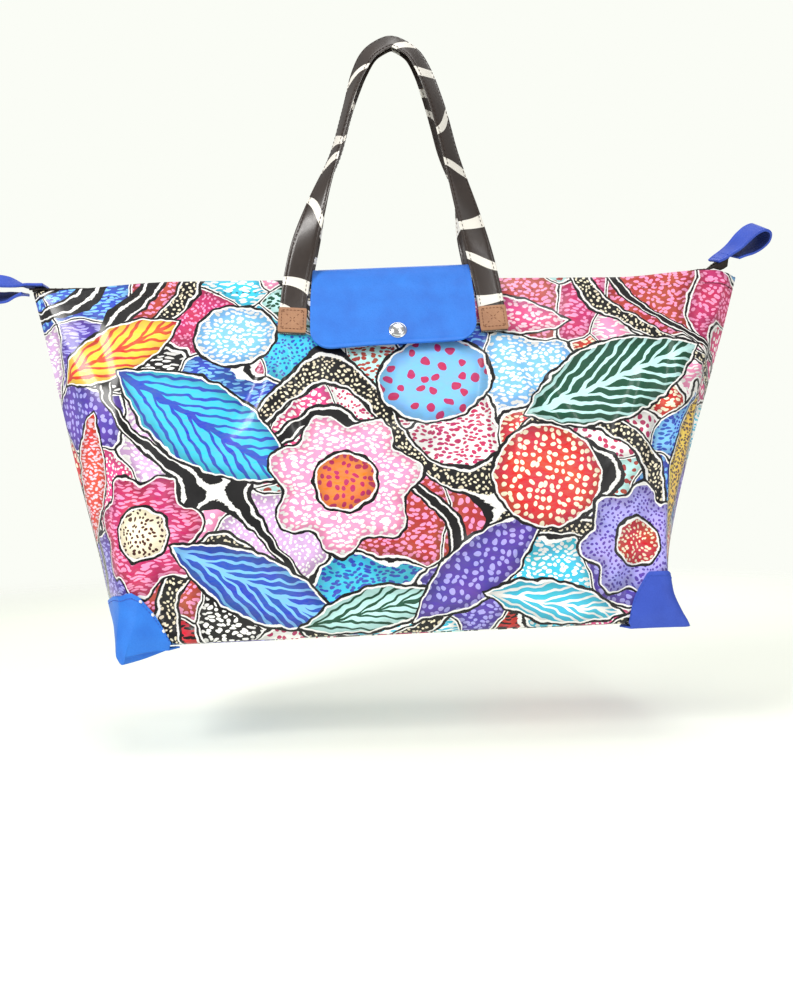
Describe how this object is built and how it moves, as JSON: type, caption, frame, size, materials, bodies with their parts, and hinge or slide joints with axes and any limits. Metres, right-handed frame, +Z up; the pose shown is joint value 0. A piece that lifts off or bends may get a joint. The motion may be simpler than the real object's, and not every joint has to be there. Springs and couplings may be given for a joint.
{
  "type": "weekend bag",
  "caption": "Soft zip-top weekend bag in a glossy multicolour print with a blue leather flap, snap, leather corners and zip tabs, hanging by dark strap handles.",
  "frame": {"origin": "the point on the hook, under the crown of the two handles", "axes": "X along the length of the bag, +X to the right as its front is seen; -Y out of the front with the flap's snap; +Z up"},
  "size_m": [0.6507, 0.1642, 0.5016],
  "materials": {
    "printed_canvas": null,
    "blue_leather": "royal blue smooth leather, semi-gloss",
    "dark_strap": "dark brown glossy strap with white curved stripes",
    "brown_leather": "copper-brown leather end patches with box stitches",
    "zip_tape": "dark woven zip tape",
    "zip_metal": "dark metal zip teeth and slider",
    "silver_metal": "polished silver snap"
  },
  "bodies": {
    "root": {"front_panel": "printed_canvas", "back_panel": "printed_canvas", "base_panel": "printed_canvas", "corner_front_left": "blue_leather", "corner_front_right": "blue_leather", "corner_back_left": "blue_leather", "corner_back_right": "blue_leather", "handle_front": "dark_strap", "handle_end_front_left": "brown_leather", "handle_end_front_right": "brown_leather", "handle_back": "dark_strap", "handle_end_back_left": "brown_leather", "handle_end_back_right": "brown_leather", "flap": "blue_leather", "snap_cap": "silver_metal", "snap_stud": "silver_metal", "zip_tape_front": "zip_tape", "zip_tape_back": "zip_tape", "zip_chain": "zip_metal", "zip_slider": "zip_metal", "zip_tab_left": "blue_leather", "zip_tab_right": "blue_leather"}
  },
  "joints": []
}
